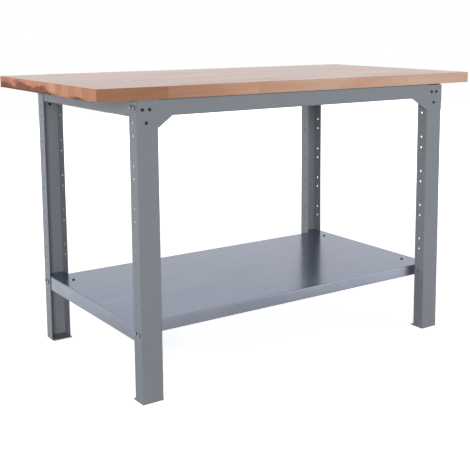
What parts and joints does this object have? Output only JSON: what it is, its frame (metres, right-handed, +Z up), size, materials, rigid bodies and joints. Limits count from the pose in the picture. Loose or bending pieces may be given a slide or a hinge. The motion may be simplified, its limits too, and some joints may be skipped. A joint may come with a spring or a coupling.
{
  "type": "workbench",
  "caption": "Workbench with a laminated wood top on a bolted frame of folded sheet steel, with punched channel legs and a lipped sheet metal shelf low between them.",
  "frame": {"origin": "on the floor, under the middle of the worktop", "axes": "+X along the bench to the right, +Y from the front to the rear, +Z up"},
  "size_m": [1.35, 0.7, 0.865],
  "materials": {
    "beech": "laminated beech staves, oiled, low sheen",
    "painted_steel": "grey powder coat, satin",
    "zinc_sheet": "bright zinc-coated sheet, smooth and reflective",
    "zinc_fasteners": "bright zinc plate",
    "black_steel": "black oxide, satin"
  },
  "bodies": {
    "root": {"worktop": "beech", "leg_front_left": "painted_steel", "foot_plate_front_left": "painted_steel", "leg_front_right": "painted_steel", "foot_plate_front_right": "painted_steel", "leg_rear_left": "painted_steel", "foot_plate_rear_left": "painted_steel", "leg_rear_right": "painted_steel", "foot_plate_rear_right": "painted_steel", "front_rail": "painted_steel", "rear_rail": "painted_steel", "left_side_rail": "painted_steel", "right_side_rail": "painted_steel", "left_shelf_beam": "zinc_sheet", "right_shelf_beam": "zinc_sheet", "shelf_tray": "zinc_sheet", "side_rail_bolt_front_left_1": "zinc_fasteners", "side_rail_bolt_front_left_2": "zinc_fasteners", "shelf_bolt_front_left_1": "zinc_fasteners", "shelf_bolt_front_left_2": "zinc_fasteners", "side_rail_bolt_front_right_1": "zinc_fasteners", "side_rail_bolt_front_right_2": "zinc_fasteners", "shelf_bolt_front_right_1": "zinc_fasteners", "shelf_bolt_front_right_2": "zinc_fasteners", "side_rail_bolt_rear_left_1": "zinc_fasteners", "side_rail_bolt_rear_left_2": "zinc_fasteners", "shelf_bolt_rear_left_1": "zinc_fasteners", "shelf_bolt_rear_left_2": "zinc_fasteners", "side_rail_bolt_rear_right_1": "zinc_fasteners", "side_rail_bolt_rear_right_2": "zinc_fasteners", "shelf_bolt_rear_right_1": "zinc_fasteners", "shelf_bolt_rear_right_2": "zinc_fasteners", "worktop_screw_front_1": "zinc_fasteners", "worktop_screw_front_2": "zinc_fasteners", "worktop_screw_front_3": "zinc_fasteners", "worktop_screw_rear_1": "zinc_fasteners", "worktop_screw_rear_2": "zinc_fasteners", "worktop_screw_rear_3": "zinc_fasteners", "worktop_screw_left_1": "zinc_fasteners", "worktop_screw_left_2": "zinc_fasteners", "worktop_screw_right_1": "zinc_fasteners", "worktop_screw_right_2": "zinc_fasteners", "rail_screw_front_left_1": "black_steel", "rail_screw_front_left_2": "black_steel", "rail_screw_front_left_3": "black_steel", "tray_screw_front_left": "black_steel", "rail_screw_front_right_1": "black_steel", "rail_screw_front_right_2": "black_steel", "rail_screw_front_right_3": "black_steel", "tray_screw_front_right": "black_steel", "rail_screw_rear_left_1": "black_steel", "rail_screw_rear_left_2": "black_steel", "rail_screw_rear_left_3": "black_steel", "tray_screw_rear_left": "black_steel", "rail_screw_rear_right_1": "black_steel", "rail_screw_rear_right_2": "black_steel", "rail_screw_rear_right_3": "black_steel", "tray_screw_rear_right": "black_steel"}
  },
  "joints": []
}
